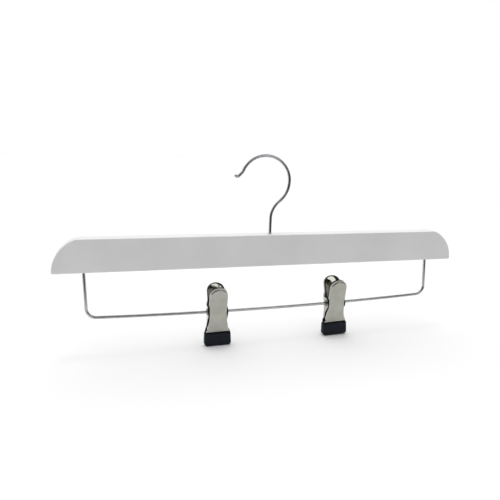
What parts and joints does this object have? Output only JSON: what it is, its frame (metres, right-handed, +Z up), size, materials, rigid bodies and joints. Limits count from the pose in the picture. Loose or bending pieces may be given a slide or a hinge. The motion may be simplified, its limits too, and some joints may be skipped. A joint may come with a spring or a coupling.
{
  "type": "clip hanger",
  "caption": "Trouser hanger: flat painted wooden bar with round shoulders on a swivel wire hook, and a bent wire rail below that carries sliding sprung clips with rubber boots.",
  "frame": {"origin": "where the hook's inside top rests on a wardrobe rail", "axes": "+X along the bar to the right seen from the front, -Y out of the front face, +Z up"},
  "size_m": [0.42, 0.0266, 0.1956],
  "materials": {
    "bar_paint": "satin white paint over wood",
    "hook_chrome": "bright chrome plated wire",
    "rail_chrome": "bright chrome plated wire",
    "washer_zinc": "zinc plated steel",
    "clip_nickel": "nickel plated pressed steel",
    "spring_steel": "bare spring wire",
    "boot_rubber": "matt black soft vinyl"
  },
  "bodies": {
    "hook": {"hook": "hook_chrome"},
    "bar": {"hanger_bar": "bar_paint", "hook_washer": "washer_zinc", "clip_rail": "rail_chrome"},
    "left_rivet": {"left_clip_rivet": "clip_nickel"},
    "left_back_half": {"left_back_jaw": "clip_nickel", "left_back_boot": "boot_rubber", "left_clip_spring": "spring_steel"},
    "left_front_half": {"left_front_jaw": "clip_nickel", "left_front_boot": "boot_rubber"},
    "right_rivet": {"right_clip_rivet": "clip_nickel"},
    "right_back_half": {"right_back_jaw": "clip_nickel", "right_back_boot": "boot_rubber", "right_clip_spring": "spring_steel"},
    "right_front_half": {"right_front_jaw": "clip_nickel", "right_front_boot": "boot_rubber"}
  },
  "joints": [
    {"name": "hook_swivel", "type": "hinge", "parent": "hook", "child": "bar", "pos_m": [0.0068, 0, -0.0763], "axis": [0, 0, 1], "continuous": true},
    {"name": "left_clip_slide", "type": "slide", "parent": "bar", "child": "left_rivet", "axis": [1, 0, -0.0076], "range_m": [-0.1036, 0.0384]},
    {"name": "left_clip_swing", "type": "hinge", "parent": "left_rivet", "child": "left_back_half", "pos_m": [-0.0462, 0, -0.15603], "axis": [0.9998, 0, 0.0205], "continuous": true},
    {"name": "left_clip_open", "type": "hinge", "parent": "left_back_half", "child": "left_front_half", "pos_m": [-0.0462, 0, -0.15603], "axis": [-0.9998, 0, -0.0205], "range_deg": [0, 28], "stiffness_Nm_per_rad": 0.35, "springref_deg": -34.38, "deforming": ["left_clip_spring"]},
    {"name": "right_clip_slide", "type": "slide", "parent": "bar", "child": "right_rivet", "axis": [0.9995, 0, 0.031], "range_m": [-0.05983, 0.08624]},
    {"name": "right_clip_swing", "type": "hinge", "parent": "right_rivet", "child": "right_back_half", "pos_m": [0.084, 0, -0.15423], "axis": [0.9988, 0, 0.049], "continuous": true},
    {"name": "right_clip_open", "type": "hinge", "parent": "right_back_half", "child": "right_front_half", "pos_m": [0.084, 0, -0.15423], "axis": [-0.9988, 0, -0.049], "range_deg": [0, 28], "stiffness_Nm_per_rad": 0.35, "springref_deg": -34.38, "deforming": ["right_clip_spring"]}
  ]
}
